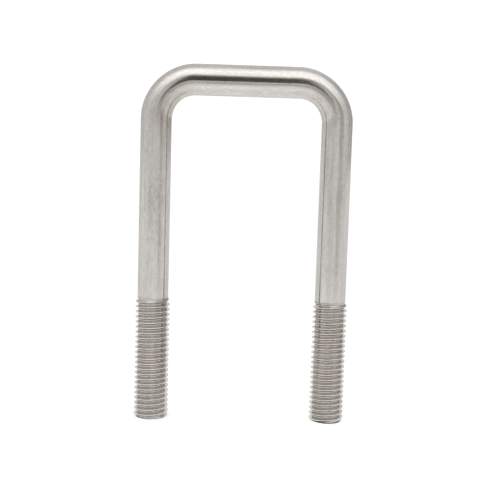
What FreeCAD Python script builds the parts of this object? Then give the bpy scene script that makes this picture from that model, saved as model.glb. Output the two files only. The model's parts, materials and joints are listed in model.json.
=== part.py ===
import FreeCAD, Part
import Sketcher
import math
import os

# Square-bend U-bolt: one round bar bent into a U with a straight crown, both leg ends
# rolled with a right-hand metric thread.
#
# Frame: origin midway between the two legs, on the plane of the leg ends. +Z runs up the
# legs towards the crown, +X from the left leg to the right leg, Y is normal to the bent bar.
# Lengths are in millimetres, angles in degrees.

NODE = "u_bolt"

# Driving dimensions: alias in the sheet, value, meaning.
DIMENSIONS = [
    ("rod_diameter", 8.9, "plain bar, about the pitch diameter of the rolled thread"),
    ("leg_spacing", 51.5, "between the axes of the two legs"),
    ("overall_height", 102.2, "from the leg ends to the top of the crown"),
    ("bend_radius", 11.25, "of the bar's centre line at both corners"),
    ("thread_diameter", 10.0, "major diameter"),
    ("thread_pitch", 1.5, "coarse pitch of that diameter"),
    ("thread_length", 35.0, "from the leg end to the end of the run-out"),
    ("runout_length", 1.8, "taper from the crests down to the plain bar"),
    ("end_chamfer", 0.6, "45 degree chamfer on each leg end"),
    ("flank_angle", 30.0, "half of the thread's included angle"),
    ("root_depth_ratio", 0.6134, "thread depth in pitches, 17/24 of the sharp V's height"),
    ("crest_land_ratio", 0.125, "width of the crest's flat land in pitches"),
    ("cutter_clearance", 0.15, "how far the groove's profile reaches outside the crests"),
    ("runout_turns", 1.5, "turns over which the groove climbs out of the bar"),
    ("runout_growth", 0.35, "rise of the groove's radius per turn of the run-out"),
    ("runout_overlap", 0.125, "turns over which the run-out lies inside the full groove"),
    ("runout_lift", 0.02, "rise of the run-out's start clear of the full groove's walls"),
    ("start_angle", 25.0, "about each leg's axis from +X, where the grooves start"),
    ("left_phase", 1.29, "start of the left groove below the leg end, in pitches"),
    ("right_phase", 1.5, "start of the right groove below the leg end, in pitches"),
]

# Formulas that the sketches share, in the sheet's names.
HALF_SPACING = "Dims.leg_spacing / 2"
BAR_START = "Dims.thread_length / 2"
CROWN_HEIGHT = "Dims.overall_height - Dims.rod_diameter / 2"
BEND_START = f"{CROWN_HEIGHT} - Dims.bend_radius"
HALF_CROWN = f"{HALF_SPACING} - Dims.bend_radius"
ROD_RADIUS = "Dims.rod_diameter / 2"
MAJOR_RADIUS = "Dims.thread_diameter / 2"
END_RADIUS = f"{MAJOR_RADIUS} - Dims.end_chamfer"
CREST_TOP = "Dims.thread_length - Dims.runout_length"
ROOT_DEPTH = "Dims.root_depth_ratio * Dims.thread_pitch"
ROOT_RADIUS = f"{MAJOR_RADIUS} - {ROOT_DEPTH}"
CUTTER_RADIUS = f"{MAJOR_RADIUS} + Dims.cutter_clearance"
CREST_GAP = "(1 - Dims.crest_land_ratio) * Dims.thread_pitch"
FLANK_SLOPE = "tan(Dims.flank_angle)"
ROOT_HALF = f"{CREST_GAP} / 2 - {ROOT_DEPTH} * {FLANK_SLOPE}"
CUTTER_HALF = f"{CREST_GAP} / 2 + Dims.cutter_clearance * {FLANK_SLOPE}"

# Sketcher's numbers for a curve's points, and for the sketch's own origin and axes.
START, END, CENTRE = 1, 2, 3
SKETCH_ORIGIN = (-1, 1)
HORIZONTAL_AXIS, VERTICAL_AXIS = -1, -2
LEG_AXIS_IN_SKETCH = FreeCAD.Vector(0, 1, 0)

# A feature that changes the volume by less than this, in mm3, has missed the bar.
LEAST_CHANGE = 1.0


def make_sheet(doc):
    """The spreadsheet that drives every sketch and feature."""
    sheet = doc.addObject("Spreadsheet::Sheet", "Dims")
    for row, (name, value, meaning) in enumerate(DIMENSIONS, start=1):
        sheet.set(f"A{row}", name)
        sheet.set(f"B{row}", str(value))
        sheet.set(f"C{row}", meaning)
        sheet.setAlias(f"B{row}", name)
    doc.recompute()


def at(sketch, x, y):
    """The point that two formulas give, as a sketch's geometry starts from it."""
    return FreeCAD.Vector(float(sketch.evalExpression(x)), float(sketch.evalExpression(y)), 0)


def new_sketch(body, name, role, **shift):
    """A sketch on one of the body's origin planes, shifted by formulas for x, y or z."""
    sketch = body.newObject("Sketcher::SketchObject", name)
    plane = next(item for item in body.Origin.OriginFeatures if item.Role == role)
    sketch.AttachmentSupport = (plane, "")
    sketch.MapMode = "FlatFace"
    for axis, formula in shift.items():
        sketch.setExpression(f".AttachmentOffset.Base.{axis}", formula)
    return sketch


def fix(sketch, kind, *where):
    """A constraint with no size of its own."""
    sketch.addConstraint(Sketcher.Constraint(kind, *where))


def dimension(sketch, name, formula, kind, *where):
    """A named dimension bound to a formula of the sheet."""
    value = float(sketch.evalExpression(formula))
    index = sketch.addConstraint(Sketcher.Constraint(kind, *where, value))
    sketch.renameConstraint(index, name)
    sketch.setExpression(f"Constraints.{name}", formula)


def polygon(sketch, corners):
    """A closed outline through corners given as pairs of formulas; 0 puts one on an axis."""
    points = [at(sketch, x, y) for x, y in corners]
    for start, end in zip(points, points[1:] + points[:1]):
        sketch.addGeometry(Part.LineSegment(start, end))
    for line, (x, y) in enumerate(corners):
        fix(sketch, "Coincident", line - 1 if line else len(corners) - 1, END, line, START)
        if x == "0":
            fix(sketch, "PointOnObject", line, START, VERTICAL_AXIS)
        else:
            dimension(sketch, f"Corner{line}X", x, "DistanceX", *SKETCH_ORIGIN, line, START)
        if y == "0":
            fix(sketch, "PointOnObject", line, START, HORIZONTAL_AXIS)
        else:
            dimension(sketch, f"Corner{line}Y", y, "DistanceY", *SKETCH_ORIGIN, line, START)


def make_centre_line(body):
    """The bent bar's path: left leg, corner arc, crown, corner arc, right leg."""
    path = new_sketch(body, "BarCentreLine", "XZ_Plane")
    normal = FreeCAD.Vector(0, 0, 1)
    radius = float(path.evalExpression("Dims.bend_radius"))
    left_circle = Part.Circle(at(path, f"-({HALF_CROWN})", BEND_START), normal, radius)
    right_circle = Part.Circle(at(path, HALF_CROWN, BEND_START), normal, radius)
    left_leg = path.addGeometry(Part.LineSegment(
        at(path, f"-{HALF_SPACING}", BAR_START), at(path, f"-{HALF_SPACING}", BEND_START)
    ))
    left_arc = path.addGeometry(Part.ArcOfCircle(left_circle, math.pi / 2, math.pi))
    crown = path.addGeometry(Part.LineSegment(
        at(path, f"-({HALF_CROWN})", CROWN_HEIGHT), at(path, HALF_CROWN, CROWN_HEIGHT)
    ))
    right_arc = path.addGeometry(Part.ArcOfCircle(right_circle, 0, math.pi / 2))
    right_leg = path.addGeometry(Part.LineSegment(
        at(path, HALF_SPACING, BEND_START), at(path, HALF_SPACING, BAR_START)
    ))
    fix(path, "Tangent", left_leg, END, left_arc, END)
    fix(path, "Tangent", left_arc, START, crown, START)
    fix(path, "Tangent", crown, END, right_arc, END)
    fix(path, "Tangent", right_arc, START, right_leg, START)
    fix(path, "Vertical", left_leg)
    fix(path, "Vertical", right_leg)
    fix(path, "Equal", left_arc, right_arc)
    fix(path, "Symmetric", left_leg, START, right_leg, END, VERTICAL_AXIS)
    dimension(path, "BendRadius", "Dims.bend_radius", "Radius", left_arc)
    dimension(path, "LegSpacing", "Dims.leg_spacing", "DistanceX", left_leg, START, right_leg, END)
    dimension(path, "BarStart", BAR_START, "DistanceY", *SKETCH_ORIGIN, left_leg, START)
    dimension(path, "CrownHeight", CROWN_HEIGHT, "DistanceY", *SKETCH_ORIGIN, crown, START)
    return path


def make_bar(body):
    """The plain round bar, swept along its bent centre line from inside the threaded stock."""
    path = make_centre_line(body)
    section = new_sketch(body, "BarSection", "XY_Plane", x=f"-{HALF_SPACING}", z=BAR_START)
    radius = float(section.evalExpression(ROD_RADIUS))
    normal = FreeCAD.Vector(0, 0, 1)
    circle = section.addGeometry(Part.Circle(FreeCAD.Vector(), normal, radius))
    fix(section, "Coincident", circle, CENTRE, *SKETCH_ORIGIN)
    dimension(section, "RodDiameter", "Dims.rod_diameter", "Diameter", circle)
    bar = body.newObject("PartDesign::AdditivePipe", "Bar")
    bar.Profile = section
    bar.Spine = (path, [f"Edge{index + 1}" for index in range(path.GeometryCount)])


def make_stock(body, name, leg_x):
    """The rolled end before its groove: chamfer, crest cylinder, taper down to the bar."""
    profile = new_sketch(body, f"{name}StockProfile", "XZ_Plane", x=leg_x)
    polygon(profile, [
        ("0", "0"),
        (END_RADIUS, "0"),
        (MAJOR_RADIUS, "Dims.end_chamfer"),
        (MAJOR_RADIUS, CREST_TOP),
        (ROD_RADIUS, "Dims.thread_length"),
        ("0", "Dims.thread_length"),
    ])
    stock = body.newObject("PartDesign::Revolution", f"{name}Stock")
    stock.Profile = profile
    stock.ReferenceAxis = (profile, ["V_Axis"])
    stock.Angle = 360
    return stock


def make_helix(body, name, leg_x, height, lift, mode, sizes):
    """The thread's V section wound up the leg from a height, lifted out of the bar or not."""
    profile = new_sketch(body, f"{name}Profile", "XZ_Plane", x=leg_x, y=height)
    profile.AttachmentOffset = FreeCAD.Placement(FreeCAD.Vector(), LEG_AXIS_IN_SKETCH, 1.0)
    profile.setExpression(".AttachmentOffset.Rotation.Angle", "Dims.start_angle")
    root = f"{ROOT_RADIUS} + {lift}"
    outside = f"{CUTTER_RADIUS} + {lift}"
    polygon(profile, [
        (root, f"-({ROOT_HALF})"),
        (root, ROOT_HALF),
        (outside, CUTTER_HALF),
        (outside, f"-({CUTTER_HALF})"),
    ])
    helix = body.newObject("PartDesign::SubtractiveHelix", name)
    helix.Profile = profile
    helix.ReferenceAxis = (profile, ["V_Axis"])
    helix.Mode = mode
    for label, formula in sizes.items():
        helix.setExpression(label, formula)
    return helix


def make_thread(body, name, leg_x):
    """Turns that climb out of the bar, then the full groove that leads up to them."""
    phase = f"Dims.{name.lower()}_phase"
    turns = f"floor(({CREST_TOP}) / Dims.thread_pitch + {phase})"
    runout = make_helix(
        body, f"{name}Runout", leg_x, f"({turns} - {phase}) * Dims.thread_pitch",
        "Dims.runout_lift", "height-turns-growth",
        {
            "Height": "Dims.runout_turns * Dims.thread_pitch",
            "Turns": "Dims.runout_turns",
            "Growth": "Dims.runout_growth",
        },
    )
    groove = make_helix(
        body, f"{name}Groove", leg_x, f"-{phase} * Dims.thread_pitch", "0",
        "pitch-turns-angle",
        {"Pitch": "Dims.thread_pitch", "Turns": f"{turns} + Dims.runout_overlap"},
    )
    return runout, groove


def require_change(feature, sign):
    """Stop unless a feature adds (sign 1) or removes (sign -1) a real volume."""
    change = feature.Shape.Volume - feature.BaseFeature.Shape.Volume
    print(f"{feature.Label}: {change:+.1f} mm3")
    if sign * change < LEAST_CHANGE:
        raise RuntimeError(f"{feature.Label} missed the bar")


def make_u_bolt(doc):
    """The whole bolt as one body: the bar, then stock, groove and run-out on each leg."""
    body = doc.addObject("PartDesign::Body", "UBolt")
    body.Label = NODE
    make_bar(body)
    doc.recompute()
    for name, leg_x in (("Left", f"-{HALF_SPACING}"), ("Right", HALF_SPACING)):
        stock = make_stock(body, name, leg_x)
        runout, groove = make_thread(body, name, leg_x)
        body.Tip = groove
        doc.recompute()
        require_change(stock, 1)
        require_change(runout, -1)
        require_change(groove, -1)
    return body


def require_sound(doc):
    """Stop if any object of the document failed to compute."""
    for item in doc.Objects:
        if "Invalid" in item.State or "Error" in item.State:
            raise RuntimeError(f"{item.Label} did not compute: {item.State}")


def export(body):
    """Write the body's shape to the file that its label names."""
    shape = body.Shape
    if shape.isNull() or not shape.isValid() or len(shape.Solids) != 1:
        raise RuntimeError(f"{body.Label} is not one valid solid")
    os.makedirs("parts", exist_ok=True)
    shape.exportStep(f"parts/{body.Label}.step")
    print(f"{body.Label}: {shape.Volume:.1f} mm3, {len(shape.Faces)} faces")


document = FreeCAD.newDocument("UBolt")
make_sheet(document)
u_bolt = make_u_bolt(document)
require_sound(document)
export(u_bolt)
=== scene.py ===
import json
import math

import bmesh
import bpy
import numpy as np
from mathutils import Matrix, Vector


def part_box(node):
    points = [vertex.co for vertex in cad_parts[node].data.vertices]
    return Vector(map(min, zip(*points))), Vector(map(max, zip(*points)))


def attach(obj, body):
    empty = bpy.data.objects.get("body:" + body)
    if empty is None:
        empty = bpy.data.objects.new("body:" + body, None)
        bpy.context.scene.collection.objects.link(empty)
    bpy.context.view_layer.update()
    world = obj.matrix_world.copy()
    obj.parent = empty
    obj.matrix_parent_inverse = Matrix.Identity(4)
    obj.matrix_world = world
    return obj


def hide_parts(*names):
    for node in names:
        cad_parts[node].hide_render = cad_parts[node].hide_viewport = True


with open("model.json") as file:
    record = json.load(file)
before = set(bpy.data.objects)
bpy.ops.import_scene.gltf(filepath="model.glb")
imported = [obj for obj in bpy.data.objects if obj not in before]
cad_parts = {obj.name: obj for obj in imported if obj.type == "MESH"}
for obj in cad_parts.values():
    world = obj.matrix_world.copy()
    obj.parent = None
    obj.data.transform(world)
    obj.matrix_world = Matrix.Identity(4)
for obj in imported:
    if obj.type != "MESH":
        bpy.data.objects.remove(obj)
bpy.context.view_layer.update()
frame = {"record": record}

# Square-bend U-bolt of drawn stainless bar with rolled threads, on a pale studio table.
# Metres, in the CAD frame: legs along Z, crown along X, leg ends on Z = 0.

NODE = "u_bolt"
BODY = "root"
MM = 0.001

TOP_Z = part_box(NODE)[1].z
MOUNTS = {mount["name"]: mount for mount in frame["record"]["mounts"]}

# ---------------------------------------------------------------- the bar's sizes

HALF_SPACING = MOUNTS["leg_studs"]["dims"]["spacing_x_mm"] * MM / 2
THREAD_RADIUS = MOUNTS["leg_studs"]["dims"]["stud_r_mm"] * MM
BAR_RADIUS = (TOP_Z - MOUNTS["crown_seat"]["pos_m"][2]) / 2
CROWN_Z = TOP_Z - BAR_RADIUS
BEND_RADIUS = 11.25 * MM

# ISO metric thread: flanks at 60 degrees to the axis, crests an eighth of the pitch wide with
# slightly rounded edges, and round roots.
PITCH = 1.5 * MM
FLANK_SLOPE = math.tan(math.radians(60))
ROOT_ARC_SHARE = math.sin(math.radians(60))
LAND_HALF = PITCH / 16
ROOT_ARC = 0.144 * PITCH
ROOT_DEPTH = 17 / 24 * PITCH * math.cos(math.radians(30))
CREST_ROUND = 0.026 * MM

# The groove climbs out of the bar between the run-out's heights. Above THREAD_TOP the bar is
# plain. The chamfer on the leg end has softened edges.
RUNOUT_LOW = 33.8 * MM
RUNOUT_HIGH = 35.5 * MM
THREAD_TOP = 35.9 * MM
CHAMFER = 0.60 * MM
CHAMFER_SOFT = 0.06 * MM

# Height of a crest on the +X side of each leg, from the leg end.
LEFT_CREST = 0.20 * MM
RIGHT_CREST = 1.40 * MM

# Mesh density: columns around the bar, rows from a crest to a root in parts of the pitch, rings
# along the plain bar, and rings on the end faces in parts of the radius. Vertices closer together
# than MERGE are joined, and the rim of an end face stays sharp where it turns more than its angle.
COLUMNS = 80
CREST_TO_ROOT = (0.0, 0.034, 0.056, 0.078, 0.110, 0.25, 0.375, 0.41, 0.45, 0.5)
RING_STEP = 0.9 * MM
BEND_RINGS = 30
END_RINGS = (0.985, 0.95, 0.80, 0.55, 0.30, 0.12)
MERGE = 2e-6
END_RIM_ANGLE = math.radians(20)

# Small shape errors of a real bar: the cold bends are flattened a little, and the drawn bar waves
# slightly. The waves' lengths and their twist along the bar are given per radian.
BEND_FLATTENING = 0.012
WAVINESS = 0.006 * MM
LONG_WAVE = 7.3 * MM
SHORT_WAVE = 4.1 * MM
SHORT_WAVE_START = 2.0
WAVE_TWIST = 9.0 * MM


def smooth(low, high, value):
    """0 below low, 1 above high and an S curve between."""
    t = np.clip((value - low) / (high - low), 0, 1)
    return t * t * (3 - 2 * t)


def soft_min(a, b, width):
    """The smaller of two lengths, rounded where they cross."""
    return (a + b) / 2 - np.sqrt(((a - b) / 2) ** 2 + width ** 2)


# ---------------------------------------------------------------- thread shape

def thread_profile(offset):
    """Radius of the full thread at a distance from a crest's middle, along the leg."""
    root_min = THREAD_RADIUS - ROOT_DEPTH
    arc_centre = root_min + ROOT_ARC
    across = np.abs(offset)
    flank = THREAD_RADIUS - (across - LAND_HALF) * FLANK_SLOPE
    crest = soft_min(np.full_like(flank, THREAD_RADIUS), flank, CREST_ROUND)
    from_root = PITCH / 2 - across
    inside = np.maximum(ROOT_ARC ** 2 - from_root ** 2, 0)
    root = arc_centre - np.sqrt(inside)
    in_arc = from_root < ROOT_ARC * ROOT_ARC_SHARE
    return np.minimum(np.where(in_arc, root, crest), THREAD_RADIUS)


def thread_radius(height, angle, crest):
    """Radius of a leg's surface: the thread, its chamfered start and its run-out."""
    climbed = height - crest - PITCH * angle / (2 * math.pi)
    thread = thread_profile(climbed - PITCH * np.round(climbed / PITCH))
    fade = smooth(RUNOUT_LOW, RUNOUT_HIGH, height)
    radius = BAR_RADIUS + (thread - BAR_RADIUS) * (1 - fade)
    chamfer = THREAD_RADIUS - CHAMFER + height
    return np.minimum(soft_min(radius, chamfer, CHAMFER_SOFT), THREAD_RADIUS)


def pitch_rows():
    """Distances from a crest, over one pitch, at which the mesh has a row."""
    half = [part * PITCH for part in CREST_TO_ROOT]
    return half + [PITCH - part for part in half[-2:0:-1]]


# ---------------------------------------------------------------- the bar's mesh

class BarMesh:
    """Vertices and faces of the bar, with the place of each vertex on the unbent bar."""

    def __init__(self):
        self.points = []
        self.unbent = []
        self.faces = []

    def add(self, points, unbent):
        """Adds an array of vertices and returns the number of the first."""
        first = sum(len(block) for block in self.points)
        self.points.append(points)
        self.unbent.append(unbent)
        return first

    def add_faces(self, corners):
        """Adds an array of faces, each given as the numbers of its vertices."""
        self.faces.append(corners)


def bar_length_to_bend():
    """Length of the straight leg, from its end to where the bend starts."""
    return CROWN_Z - BEND_RADIUS


def bar_total_length():
    """Length of the bar before it was bent."""
    crown = 2 * (HALF_SPACING - BEND_RADIUS)
    return 2 * bar_length_to_bend() + math.pi * BEND_RADIUS + crown


def column_angles():
    """Angle of each column of vertices around the bar."""
    return np.arange(COLUMNS) * 2 * math.pi / COLUMNS


def unbent_place(along, around, radius):
    """Place of a point on the straight bar before it was bent."""
    along = np.broadcast_to(along, around.shape)
    return np.stack([radius * np.cos(around), radius * np.sin(around), along], axis=-1)


def leg_thread(mesh, side, crest):
    """Threaded stretch of one leg. Its rows follow the helix, and stop at the ends of the stretch."""
    rows = pitch_rows()
    turns = range(-2, math.ceil(THREAD_TOP / PITCH) + 1)
    start = np.array([turn * PITCH + row for turn in turns for row in rows])
    angle = column_angles()
    height = crest + start[:, None] + PITCH * angle[None, :] / (2 * math.pi)
    height = np.clip(height, 0, THREAD_TOP)
    radius = thread_radius(height, angle, crest)
    x = side * HALF_SPACING + radius * np.cos(angle)
    y = radius * np.sin(angle)
    points = np.stack([x, y, height], axis=-1)
    around = math.pi - angle if side < 0 else angle
    along = height if side < 0 else bar_total_length() - height
    unbent = unbent_place(along, np.broadcast_to(around, height.shape), radius)
    first = mesh.add(points.reshape(-1, 3), unbent.reshape(-1, 3))
    count = len(start)
    row, column = np.meshgrid(np.arange(count - 1), np.arange(COLUMNS - 1), indexing="ij")
    corner = first + row * COLUMNS + column
    quads = np.stack([corner, corner + 1, corner + COLUMNS + 1, corner + COLUMNS], axis=-1)
    mesh.add_faces(quads.reshape(-1, 4))
    # One turn on, the first column is a pitch higher, so the seam joins rows a pitch apart.
    row = np.arange(count - len(rows) - 1)
    last = first + row * COLUMNS + COLUMNS - 1
    wrap = first + (row + len(rows)) * COLUMNS
    seam = np.stack([last, wrap, wrap + COLUMNS, last + COLUMNS], axis=-1)
    mesh.add_faces(seam)


def ring_faces(mesh, first, second):
    """Quads between two rings of the same number of vertices."""
    column = np.arange(COLUMNS)
    after = (column + 1) % COLUMNS
    quads = np.stack([first + column, first + after, second + after, second + column], axis=-1)
    mesh.add_faces(quads)


def leg_end(mesh, side, crest):
    """Flat end face of one leg, as rings that close on a point."""
    angle = column_angles()
    rim = thread_radius(np.zeros(COLUMNS), angle, crest)
    around = math.pi - angle if side < 0 else angle
    along = 0 if side < 0 else bar_total_length()
    before = None
    for part in (1.0,) + END_RINGS:
        radius = rim * part
        x = side * HALF_SPACING + radius * np.cos(angle)
        y = radius * np.sin(angle)
        points = np.stack([x, y, np.zeros(COLUMNS)], axis=-1)
        first = mesh.add(points, unbent_place(along, around, radius))
        if before is not None:
            ring_faces(mesh, before, first)
        before = first
    middle = mesh.add(np.array([[side * HALF_SPACING, 0, 0]]), np.array([[0, 0, along]]))
    column = np.arange(COLUMNS)
    after = (column + 1) % COLUMNS
    fan = np.stack([before + column, before + after, np.full(COLUMNS, middle)], axis=-1)
    mesh.add_faces(fan)


def ring_places():
    """Distances along the bar at which the plain stretch has a ring of vertices."""
    to_bend = bar_length_to_bend()
    bend_length = math.pi / 2 * BEND_RADIUS
    crown_length = 2 * (HALF_SPACING - BEND_RADIUS)
    shank_steps = math.ceil((to_bend - THREAD_TOP) / RING_STEP)
    crown_steps = math.ceil(crown_length / RING_STEP)
    shank = np.linspace(THREAD_TOP, to_bend, shank_steps + 1)
    first_bend = to_bend + np.linspace(0, bend_length, BEND_RINGS + 1)[1:]
    crown = to_bend + bend_length + np.linspace(0, crown_length, crown_steps + 1)[1:]
    half = np.concatenate([shank, first_bend])
    return np.concatenate([half, crown[:-1], bar_total_length() - half[::-1]])


def place_on_line(along):
    """Centre of the section, its outward direction and how far it is into a bend, 0 to 1."""
    total = bar_total_length()
    mirrored = along > total / 2
    run = total - along if mirrored else along
    side = 1 if mirrored else -1
    to_bend = bar_length_to_bend()
    angle = min(max((run - to_bend) / BEND_RADIUS, 0), math.pi / 2)
    past = max(run - to_bend - math.pi / 2 * BEND_RADIUS, 0)
    bend_x = HALF_SPACING - BEND_RADIUS
    x = bend_x + BEND_RADIUS * math.cos(angle) - past
    z = min(run, to_bend) + BEND_RADIUS * math.sin(angle)
    outward = Vector((side * math.cos(angle), 0, math.sin(angle)))
    return Vector((side * x, 0, z)), outward, math.sin(2 * angle) ** 2


def plain_bar(mesh):
    """Shanks, bends and crown, as rings from the left thread to the right one. The waves only
    go inwards, so that the bar stays inside its nominal size."""
    around = column_angles()
    before = None
    for along in ring_places():
        centre, outward, bend = place_on_line(along)
        wave = math.sin(along / LONG_WAVE) + math.sin(along / SHORT_WAVE + SHORT_WAVE_START)
        clear = smooth(THREAD_TOP, 2 * THREAD_TOP, min(along, bar_total_length() - along))
        oval = np.sin(2 * around + along / WAVE_TWIST)
        radius = BAR_RADIUS + WAVINESS * clear * (oval * wave - 2) / 2
        flat = 1 - BEND_FLATTENING * bend * np.cos(around) ** 2
        reach = radius * flat * np.cos(around)
        side_reach = radius * np.sin(around)
        points = np.array(centre) + reach[:, None] * np.array(outward)
        points[:, 1] += side_reach
        first = mesh.add(points, unbent_place(along, around, radius))
        if before is not None:
            ring_faces(mesh, before, first)
        before = first


def make_bar():
    """The whole bent and threaded bar as one closed piece."""
    mesh = BarMesh()
    leg_thread(mesh, -1, LEFT_CREST)
    leg_thread(mesh, 1, RIGHT_CREST)
    leg_end(mesh, -1, LEFT_CREST)
    leg_end(mesh, 1, RIGHT_CREST)
    plain_bar(mesh)
    points = np.concatenate(mesh.points)
    unbent = np.concatenate(mesh.unbent)
    faces = [tuple(face) for block in mesh.faces for face in block.tolist()]
    data = bpy.data.meshes.new("u_bolt_bar")
    data.from_pydata(points.tolist(), [], faces)
    place = data.attributes.new("unbent_place", "FLOAT_VECTOR", "POINT")
    place.data.foreach_set("vector", unbent.astype(np.float32).ravel())
    close_mesh(data)
    bar = bpy.data.objects.new("u_bolt_bar", data)
    bpy.context.scene.collection.objects.link(bar)
    return bar


def close_mesh(data):
    """Joins the rows that end on the same ring, so that the mesh is closed, and faces it out."""
    shape = bmesh.new()
    shape.from_mesh(data)
    bmesh.ops.remove_doubles(shape, verts=shape.verts, dist=MERGE)
    bmesh.ops.recalc_face_normals(shape, faces=shape.faces)
    loose = [vertex for vertex in shape.verts if not vertex.link_faces]
    bmesh.ops.delete(shape, geom=loose, context="VERTS")
    open_edges = [edge for edge in shape.edges if len(edge.link_faces) != 2]
    if open_edges:
        raise RuntimeError(f"the bar's mesh has {len(open_edges)} open edges")
    for face in shape.faces:
        face.smooth = True
    for edge in shape.edges:
        on_end_face = max(vertex.co.z for vertex in edge.verts) < MERGE
        edge.smooth = not (on_end_face and edge.calc_face_angle() > END_RIM_ANGLE)
    shape.to_mesh(data)
    shape.free()


bar = make_bar()
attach(bar, BODY)
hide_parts(NODE)

# ---------------------------------------------------------------- material nodes

def add_node(tree, kind, **settings):
    """A new node of the given kind, with its settings made."""
    made = tree.nodes.new(kind)
    for name, value in settings.items():
        setattr(made, name, value)
    return made


def connect(tree, socket, value):
    """Feeds a socket from another socket, or sets it to a number."""
    if isinstance(value, bpy.types.NodeSocket):
        tree.links.new(value, socket)
    else:
        socket.default_value = value


def maths(tree, operation, first, second=0.0):
    """The result of a sum, product or other calculation on one or two numbers."""
    made = add_node(tree, "ShaderNodeMath", operation=operation)
    connect(tree, made.inputs[0], first)
    connect(tree, made.inputs[1], second)
    return made.outputs[0]


def plus(tree, first, second):
    return maths(tree, "ADD", first, second)


def minus(tree, first, second):
    return maths(tree, "SUBTRACT", first, second)


def times(tree, first, *others):
    """The product of two or more numbers."""
    for other in others:
        first = maths(tree, "MULTIPLY", first, other)
    return first


def distance(tree, first, second):
    """How far apart two numbers are."""
    return maths(tree, "ABSOLUTE", minus(tree, first, second))


def xyz(tree, vector):
    """The three parts of a vector."""
    made = add_node(tree, "ShaderNodeSeparateXYZ")
    connect(tree, made.inputs[0], vector)
    return made.outputs


def length(tree, vector):
    made = add_node(tree, "ShaderNodeVectorMath", operation="LENGTH")
    connect(tree, made.inputs[0], vector)
    return made.outputs["Value"]


def ramp(tree, value, low, high, out_low=0.0, out_high=1.0):
    """Smooth step from out_low, at low, to out_high, at high."""
    made = add_node(tree, "ShaderNodeMapRange", interpolation_type="SMOOTHSTEP")
    for name, number in (("Value", value), ("From Min", low), ("From Max", high),
                         ("To Min", out_low), ("To Max", out_high)):
        connect(tree, made.inputs[name], number)
    return made.outputs["Result"]


# Each grain's noise is taken at its own place, found by its seed in this direction.
SEED_DIRECTION = (1.0, 2.7, -1.9)


def stretched(tree, place, across, along, seed):
    """Coordinates in which a grain across wide and along long is one unit each way."""
    made = add_node(tree, "ShaderNodeMapping")
    connect(tree, made.inputs["Vector"], place)
    made.inputs["Scale"].default_value = (1 / across, 1 / across, 1 / along)
    made.inputs["Location"].default_value = [seed * part for part in SEED_DIRECTION]
    return made.outputs["Vector"]


def noise(tree, place, across, along, seed, detail, roughness):
    """Noise with grains of the given size across and along the bar."""
    made = add_node(tree, "ShaderNodeTexNoise")
    connect(tree, made.inputs["Vector"], stretched(tree, place, across, along, seed))
    made.inputs["Scale"].default_value = 1.0
    made.inputs["Detail"].default_value = detail
    made.inputs["Roughness"].default_value = roughness
    return made.outputs["Fac"]


def blend(tree, share, first, second):
    """A colour that goes from the first, where the share is 0, to the second, where it is 1."""
    made = add_node(tree, "ShaderNodeMix", data_type="RGBA")
    connect(tree, made.inputs["Factor"], share)
    connect(tree, made.inputs[6], first)
    connect(tree, made.inputs[7], second)
    return made.outputs[2]


def scaled(tree, colour, amount):
    """The colour with its brightness multiplied."""
    made = add_node(tree, "ShaderNodeVectorMath", operation="SCALE")
    connect(tree, made.inputs[0], colour)
    connect(tree, made.inputs["Scale"], amount)
    return made.outputs["Vector"]


# ---------------------------------------------------------------- steel

# A pair named "fade" holds the values at which a look starts to come in and is fully there.

# Colours of the bar, of the parts of the thread and of the bevel on the leg ends. The flanks have
# a lit copy, painted light, and a shaded copy for their undersides, painted shade.
CLEAN_STEEL = (0.530, 0.511, 0.486, 1)
BROWN_STEEL = (0.430, 0.391, 0.348, 1)
LIT_FLANK_STEEL = (0.670, 0.635, 0.595, 1)
SHADED_UNDER_STEEL = (0.350, 0.325, 0.300, 1)
ROOT_STEEL = (0.520, 0.494, 0.463, 1)
CREST_STEEL = (0.580, 0.560, 0.535, 1)
BEVEL_STEEL = (0.560, 0.556, 0.550, 1)
EDGE_TINT = (0.80, 0.80, 0.80, 1)

# Crests and the tops of flanks, by depth below the crests; flanks' feet and roots, by height
# above the roots; the painted shade on the undersides of flanks, by the upward part of the normal.
CREST_FADE = (0.10 * MM, 0.03 * MM)
FLANK_TOP_FADE = (0.02 * MM, 0.15 * MM)
FLANK_FOOT_FADE = (0.03 * MM, 0.16 * MM)
ROOT_FADE = (0.15 * MM, 0.05 * MM)
SHADED_UNDERSIDE_FADE = (-0.30, -0.75)

# The brown tint is inside the bends, a little below their middles, and weaker at the right.
BROWN_BELOW_MIDDLE = 3 * MM
BROWN_REACH_FADE = (15 * MM, 2 * MM)
BROWN_INSIDE_FADE = (0.5 * BAR_RADIUS, -0.4 * BAR_RADIUS)
BROWN_STAIN_FADE = (0.30, 0.52)
BROWN_LEFT_TO_RIGHT = (0.35, 0.65)
BROWN_RIGHT_SHARE = 0.50

# Each grain's width across the bar and length along it, seed, detail and roughness.
GRAINS = {
    "fine": (0.30 * MM, 14 * MM, 3.1, 3.0, 0.6),
    "coarse": (1.1 * MM, 60 * MM, 11.7, 2.0, 0.5),
    "mottle": (0.75 * MM, 1.8 * MM, 5.3, 4.0, 0.7),
    "patches": (3.2 * MM, 15 * MM, 17.1, 2.0, 0.5),
    "grit": (0.32 * MM, 0.42 * MM, 41.0, 1.0, 0.5),
    "stain": (2.2 * MM, 7 * MM, 23.9, 3.0, 0.5),
    "specks": (0.25 * MM, 0.45 * MM, 31.0, 1.0, 0.5),
}

# How far drawn lines, broad streaks, mottling, fine grain and handling patches spread the
# brightness.
TONE_SPREAD = {"fine": 0.40, "coarse": 0.26, "mottle": 0.46, "grit": 0.40, "patches": 0.30}

# The handled stretch of the left leg, by height, is more mottled than the rest of the bar. The
# mottling spreads from its middle value, so the stretch keeps its brightness.
HANDLED_LOW_FADE = (47 * MM, 53 * MM)
HANDLED_HIGH_FADE = (73 * MM, 67 * MM)
HANDLED_SPREAD = 0.40
MOTTLE_MIDDLE = 0.51

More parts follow.
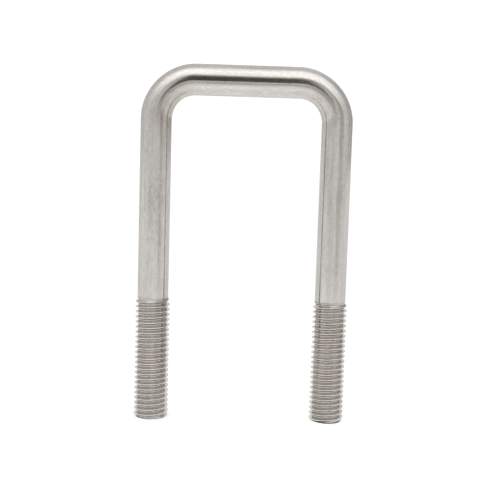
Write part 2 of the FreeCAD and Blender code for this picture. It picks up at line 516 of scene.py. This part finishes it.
# Small dark pits.
PIT_FADE = (0.72, 0.78)
PIT_TONE = 0.70

# The run-out is painted darker than the bar: painted shade that tones down its reflection. Each
# leg end has a cut bevel, lightened by a painted highlight, and a dark rim, a painted contact
# shadow, both stronger at the right, where the rim stands in for the dark crescent under that
# foot. All of these fade to the bar's own brightness, by distance from the run-out or the leg end.
RUNOUT_MIDDLE = RUNOUT_HIGH - 0.7 * MM
RUNOUT_FADE = (1.0 * MM, 0.3 * MM)
RUNOUT_PAINTED_SHADE = 0.66
BEVEL_FADE = (0.85 * MM, 0.62 * MM)
LEFT_BEVEL_HIGHLIGHT = 1.05
RIGHT_BEVEL_HIGHLIGHT = 1.75
RIM_SHADOW_FADE = (0.34 * MM, 0.20 * MM)
LEFT_RIM_SHADOW = 0.40
RIGHT_RIM_SHADOW = 0.04

# Roughness of the bar, what fine lines and mottling add, and what the rolls take off the thread.
ROUGHNESS = 0.05
FINE_ROUGHNESS = 0.10
MOTTLE_ROUGHNESS = 0.10
ROLLED_SMOOTHNESS = 0.045

# Height of the fine drawn lines, and how many times deeper the broad streaks are.
BUMP_HEIGHT = 0.0022 * MM
COARSE_BUMP = 2.5


class BarPlace:
    """Where a point of the bar was before bending, and the grains there, as node outputs."""

    def __init__(self, tree):
        attribute = add_node(tree, "ShaderNodeAttribute", attribute_name="unbent_place")
        place = attribute.outputs["Vector"]
        self.outward, sideways, self.from_left = xyz(tree, place)
        self.from_right = minus(tree, bar_total_length(), self.from_left)
        self.to_end = maths(tree, "MINIMUM", self.from_left, self.from_right)
        section = add_node(tree, "ShaderNodeCombineXYZ")
        connect(tree, section.inputs[0], self.outward)
        connect(tree, section.inputs[1], sideways)
        self.radius = length(tree, section.outputs[0])
        self.threaded = ramp(tree, self.to_end, THREAD_TOP, RUNOUT_LOW)
        self.grain = {name: noise(tree, place, *sizes) for name, sizes in GRAINS.items()}


def brown_share(tree, bar_place):
    """How brown the steel is: stains on the inside of the bends."""
    total = bar_total_length()
    bend_middle = bar_length_to_bend() + math.pi / 4 * BEND_RADIUS
    off_bend = distance(tree, bar_place.to_end, bend_middle - BROWN_BELOW_MIDDLE)
    left_end, right_end = BROWN_LEFT_TO_RIGHT
    left_more = ramp(tree, bar_place.from_left, left_end * total, right_end * total,
                     1.0, BROWN_RIGHT_SHARE)
    return times(tree, ramp(tree, off_bend, *BROWN_REACH_FADE),
                 ramp(tree, bar_place.outward, *BROWN_INSIDE_FADE), left_more,
                 ramp(tree, bar_place.grain["stain"], *BROWN_STAIN_FADE))


def steel_colour(tree, bar_place):
    """Clean and browned steel, with the thread's crests, flanks lightened by painted light,
    undersides darkened by painted shade, dark roots, and the bevels on the leg ends."""
    depth = minus(tree, THREAD_RADIUS, bar_place.radius)
    above_root = minus(tree, bar_place.radius, THREAD_RADIUS - ROOT_DEPTH)
    crest = times(tree, bar_place.threaded, ramp(tree, depth, *CREST_FADE))
    flank = times(tree, bar_place.threaded, ramp(tree, depth, *FLANK_TOP_FADE),
                  ramp(tree, above_root, *FLANK_FOOT_FADE))
    root = times(tree, bar_place.threaded, ramp(tree, above_root, *ROOT_FADE))
    # Flanks facing up get a lit copy of the steel, painted light; undersides a shaded copy, painted
    # shade.
    normal = add_node(tree, "ShaderNodeNewGeometry").outputs["Normal"]
    shaded_underside = ramp(tree, xyz(tree, normal)[2], *SHADED_UNDERSIDE_FADE)
    lit_or_shaded_flank = blend(tree, shaded_underside, LIT_FLANK_STEEL, SHADED_UNDER_STEEL)

    colour = blend(tree, brown_share(tree, bar_place), CLEAN_STEEL, BROWN_STEEL)
    colour = blend(tree, crest, colour, CREST_STEEL)
    colour = blend(tree, flank, colour, lit_or_shaded_flank)
    colour = blend(tree, root, colour, ROOT_STEEL)
    return blend(tree, ramp(tree, bar_place.to_end, *BEVEL_FADE), colour, BEVEL_STEEL)


def grain_tone(tree, bar_place):
    """Brightness from the grains of the drawn and handled surface."""
    grain = bar_place.grain
    tone = 1 - sum(TONE_SPREAD.values()) / 2
    for name, spread in TONE_SPREAD.items():
        tone = plus(tree, times(tree, grain[name], spread), tone)
    handled = times(tree, ramp(tree, bar_place.from_left, *HANDLED_LOW_FADE),
                    ramp(tree, bar_place.from_left, *HANDLED_HIGH_FADE))
    unevenness = times(tree, minus(tree, grain["mottle"], MOTTLE_MIDDLE), HANDLED_SPREAD)
    tone = plus(tree, tone, times(tree, handled, unevenness))
    return times(tree, tone, ramp(tree, grain["specks"], *PIT_FADE, 1.0, PIT_TONE))


def end_highlight_and_shadow(tree, from_end, bevel_highlight, rim_shadow):
    """Brightness of one leg's end: a painted highlight on its bevel and a painted shadow at its rim.
    """
    return times(tree, ramp(tree, from_end, *BEVEL_FADE, 1.0, bevel_highlight),
                 ramp(tree, from_end, *RIM_SHADOW_FADE, 1.0, rim_shadow))


def steel_tone(tree, bar_place):
    """Brightness from the grains, the painted shade on the run-outs, and the painted highlights and
    shadows on the cut ends.
    """
    off_runout = distance(tree, bar_place.to_end, RUNOUT_MIDDLE)
    return times(tree, grain_tone(tree, bar_place),
                 ramp(tree, off_runout, *RUNOUT_FADE, 1.0, RUNOUT_PAINTED_SHADE),
                 end_highlight_and_shadow(tree, bar_place.from_left, LEFT_BEVEL_HIGHLIGHT, LEFT_RIM_SHADOW),
                 end_highlight_and_shadow(tree, bar_place.from_right, RIGHT_BEVEL_HIGHLIGHT, RIGHT_RIM_SHADOW))


def steel_roughness(tree, bar_place):
    """A slightly uneven polish, smoother on the rolled threads."""
    fine = times(tree, bar_place.grain["fine"], FINE_ROUGHNESS)
    mottle = times(tree, bar_place.grain["mottle"], MOTTLE_ROUGHNESS)
    rolled = times(tree, bar_place.threaded, ROLLED_SMOOTHNESS)
    return plus(tree, minus(tree, plus(tree, fine, mottle), rolled), ROUGHNESS)


def steel_normal(tree, bar_place):
    """Shallow drawn lines along the bar."""
    coarse = times(tree, bar_place.grain["coarse"], COARSE_BUMP)
    bump = add_node(tree, "ShaderNodeBump")
    bump.inputs["Strength"].default_value = 1.0
    bump.inputs["Distance"].default_value = BUMP_HEIGHT
    connect(tree, bump.inputs["Height"], plus(tree, bar_place.grain["fine"], coarse))
    return bump.outputs["Normal"]


def stainless():
    """Bare drawn stainless steel with rolled threads and cut ends."""
    material = bpy.data.materials.new("drawn_stainless")
    material.use_nodes = True
    tree = material.node_tree
    shader = tree.nodes["Principled BSDF"]
    shader.inputs["Metallic"].default_value = 1.0
    shader.inputs["Specular Tint"].default_value = EDGE_TINT
    bar_place = BarPlace(tree)
    colour = scaled(tree, steel_colour(tree, bar_place), steel_tone(tree, bar_place))
    connect(tree, shader.inputs["Base Color"], colour)
    connect(tree, shader.inputs["Roughness"], steel_roughness(tree, bar_place))
    connect(tree, shader.inputs["Normal"], steel_normal(tree, bar_place))
    return material


bar.data.materials.append(stainless())

# ---------------------------------------------------------------- studio

WHITE = (1, 1, 1, 1)

# The table is painted darker, as painted shade, from a line in front of the bolt, where only the
# bar's reflections and views from behind see it, and it glows most around the bolt, so that
# contact shadows stay faint.
TABLE_NEAR = (0.81, 0.81, 0.81, 1)
TABLE_FRONT_SHADE = (0.61, 0.61, 0.61, 1)
TABLE_SHADE_FADE = (-0.15, -0.90)
TABLE_HALF = 3.0
TABLE_ROUGHNESS = 0.9
TABLE_SHEEN = 0.2
TABLE_GLOW = 0.06
TABLE_GLOW_NEAR = 0.28
TABLE_GLOW_FADE = (0.05, 0.26)

SUN_STRENGTH = 0.22
SUN_SIZE = math.radians(70)

# Brightness of the tent. The fades are in parts of the direction: to the right, away and up.
SKY_SIDES = 0.92
SKY_BEHIND = 1.10
SKY_BEHIND_FADE = (0.80, 0.93)
SKY_HIGHLIGHT = 0.88
HIGHLIGHT_FRONT_FADE = (0.88, 0.72)
HIGHLIGHT_BACK_FADE = (-0.27, 0.40)
HIGHLIGHT_UP_FADE = (0.30, 1.0)
SKY_RIGHT_DIM = 0.26
DIM_SIDE_FADE = (0.30, 0.75)
DIM_DEPTH_FADE = (-0.45, 0.10)

CARD_TINT = (1.0, 0.93, 0.84)


def make_sun():
    """Even overhead light for the table. The bar doesn't mirror it: it mirrors the tent."""
    light = bpy.data.lights.new("overhead", "SUN")
    light.energy = SUN_STRENGTH
    light.angle = SUN_SIZE
    holder = bpy.data.objects.new("overhead", light)
    holder.visible_glossy = False
    bpy.context.scene.collection.objects.link(holder)


def make_world():
    """White tent: brighter behind the object, a broad soft highlight above its front, and a
    little darker at the right."""
    world = bpy.data.worlds.new("tent")
    bpy.context.scene.world = world
    world.use_nodes = True
    tree = world.node_tree
    direction = add_node(tree, "ShaderNodeTexCoord").outputs["Generated"]
    side, depth, up = xyz(tree, direction)
    behind = ramp(tree, depth, *SKY_BEHIND_FADE, SKY_SIDES, SKY_BEHIND)
    dim = times(tree, ramp(tree, side, *DIM_SIDE_FADE, 0.0, SKY_RIGHT_DIM),
                ramp(tree, depth, *DIM_DEPTH_FADE))
    frontness = times(tree, depth, -1.0)
    off_axis = maths(tree, "SQRT", plus(tree, times(tree, side, side), times(tree, up, up)))
    uprightness = maths(tree, "DIVIDE", up, off_axis)
    highlight = times(tree, ramp(tree, frontness, *HIGHLIGHT_FRONT_FADE),
                      ramp(tree, frontness, *HIGHLIGHT_BACK_FADE),
                      ramp(tree, uprightness, *HIGHLIGHT_UP_FADE), SKY_HIGHLIGHT)
    strength = plus(tree, minus(tree, behind, dim), highlight)
    background = tree.nodes["Background"]
    background.inputs["Color"].default_value = WHITE
    connect(tree, background.inputs["Strength"], strength)


def flat_sheet(name, corners):
    """A flat four-cornered piece of the studio."""
    data = bpy.data.meshes.new(name)
    data.from_pydata(corners, [], [(0, 1, 2, 3)])
    layer = data.uv_layers.new(name="sheet")
    for loop, corner in zip(layer.data, ((0, 0), (1, 0), (1, 1), (0, 1))):
        loop.uv = corner
    sheet = bpy.data.objects.new(name, data)
    bpy.context.scene.collection.objects.link(sheet)
    return sheet


def make_table():
    half = TABLE_HALF
    corners = [(-half, -half, 0), (half, -half, 0), (half, half, 0), (-half, half, 0)]
    table = flat_sheet("table", corners)
    material = bpy.data.materials.new("pale_table")
    material.use_nodes = True
    tree = material.node_tree
    shader = tree.nodes["Principled BSDF"]
    shader.inputs["Roughness"].default_value = TABLE_ROUGHNESS
    shader.inputs["Specular IOR Level"].default_value = TABLE_SHEEN
    shader.inputs["Emission Color"].default_value = WHITE
    place = add_node(tree, "ShaderNodeNewGeometry").outputs["Position"]
    # Painted shade: the table's colour darkens in front of the bolt.
    front_shade = ramp(tree, xyz(tree, place)[1], *TABLE_SHADE_FADE)
    connect(tree, shader.inputs["Base Color"], blend(tree, front_shade, TABLE_NEAR, TABLE_FRONT_SHADE))
    glow = ramp(tree, length(tree, place), *TABLE_GLOW_FADE, TABLE_GLOW_NEAR, TABLE_GLOW)
    connect(tree, shader.inputs["Emission Strength"], glow)
    table.data.materials.append(material)


def card_share(tree, fades, cover):
    """How much of what is behind it a card hides: its edges fade by the given shares of its width
    or height, at the left, right, low and high edge."""
    left, right, low, high = fades
    uv = add_node(tree, "ShaderNodeUVMap", uv_map="sheet").outputs["UV"]
    across, up, _ = xyz(tree, uv)
    return times(tree, ramp(tree, across, 0, left, 0.0, cover), ramp(tree, across, 1, 1 - right),
                 ramp(tree, up, 0, low), ramp(tree, up, 1, 1 - high))


def dark_card(name, corners, fades, radiance, cover):
    """A dark card that only reflections see. Its corners go round from the lower left one."""
    card = flat_sheet(name, corners)
    material = bpy.data.materials.new(name)
    material.use_nodes = True
    tree = material.node_tree
    tree.nodes.clear()
    clear = add_node(tree, "ShaderNodeBsdfTransparent")
    dark = add_node(tree, "ShaderNodeEmission")
    dark.inputs["Color"].default_value = (*(radiance * part for part in CARD_TINT), 1)
    mix = add_node(tree, "ShaderNodeMixShader")
    connect(tree, mix.inputs[0], card_share(tree, fades, cover))
    connect(tree, mix.inputs[1], clear.outputs[0])
    connect(tree, mix.inputs[2], dark.outputs[0])
    output = add_node(tree, "ShaderNodeOutputMaterial")
    connect(tree, output.inputs["Surface"], mix.outputs[0])
    card.data.materials.append(material)
    card.visible_camera = False
    card.visible_diffuse = False
    card.visible_shadow = False


def upright_card(x0, x1, z0, z1, y):
    """Corners of a card across the Y axis, in millimetres."""
    return [Vector(corner) * MM for corner in ((x0, y, z0), (x1, y, z0), (x1, y, z1), (x0, y, z1))]


def level_card(x0, x1, y0, y1, z):
    """Corners of a level card, in millimetres."""
    return [Vector(corner) * MM for corner in ((x0, y0, z), (x1, y0, z), (x1, y1, z), (x0, y1, z))]


def make_crown_cards():
    """Cards that make the dark band along the crown, in front and behind, and its soft edge."""
    crown = TOP_Z / MM
    for name, y in (("front_crown_card", -45), ("back_crown_card", 45)):
        corners = upright_card(-30, 36, crown - 11.9, crown + 27, y)
        dark_card(name, corners, fades=(0.15, 0.29, 0.02, 0.50), radiance=0.10, cover=1.0)
    corners = level_card(-30, 40, -40, -12, crown - 13.5)
    dark_card("crown_shelf", corners, fades=(0.30, 0.30, 0.05, 0.35), radiance=0.40, cover=0.58)


def make_side_cards():
    """Cards that make the soft dark band down the legs, stronger at their tops."""
    fades = (0.30, 0.65, 0.35, 0.10)
    corners = upright_card(30, 215, -20, 150, -121)
    dark_card("side_card", corners, fades, radiance=0.15, cover=0.22)
    corners = upright_card(40, 190, 64, 150, -123)
    dark_card("side_top_card", corners, fades, radiance=0.15, cover=0.34)


def make_studio():
    make_world()
    make_sun()
    make_table()
    make_crown_cards()
    make_side_cards()


# ---------------------------------------------------------------- camera

CAMERA_PLACE = Vector((-2.87, -266.73, 80.10)) * MM
CAMERA_PITCH = math.radians(-6.50)
CAMERA_TURN = math.radians(1.046)
CAMERA_ROLL = math.radians(1.784)
SENSOR_WIDTH = 36.0
FOCAL_LENGTH = 66.9
CLIP_START = 10 * MM
CLIP_END = 20.0


def make_camera():
    """The camera at the photo's angle."""
    lens = bpy.data.cameras.new("camera")
    lens.sensor_width = SENSOR_WIDTH
    lens.lens = FOCAL_LENGTH
    lens.clip_start = CLIP_START
    lens.clip_end = CLIP_END
    camera = bpy.data.objects.new("camera", lens)
    looking_along_y = Matrix.Rotation(math.radians(90), 3, "X")
    turn = Matrix.Rotation(-CAMERA_TURN, 3, "Z")
    pitch = Matrix.Rotation(CAMERA_PITCH, 3, "X")
    roll = Matrix.Rotation(-CAMERA_ROLL, 3, "Y")
    camera.matrix_world = (turn @ pitch @ roll @ looking_along_y).to_4x4()
    camera.location = CAMERA_PLACE
    bpy.context.scene.collection.objects.link(camera)
    bpy.context.scene.camera = camera


make_studio()
make_camera()
bpy.context.scene.view_settings.view_transform = "Standard"
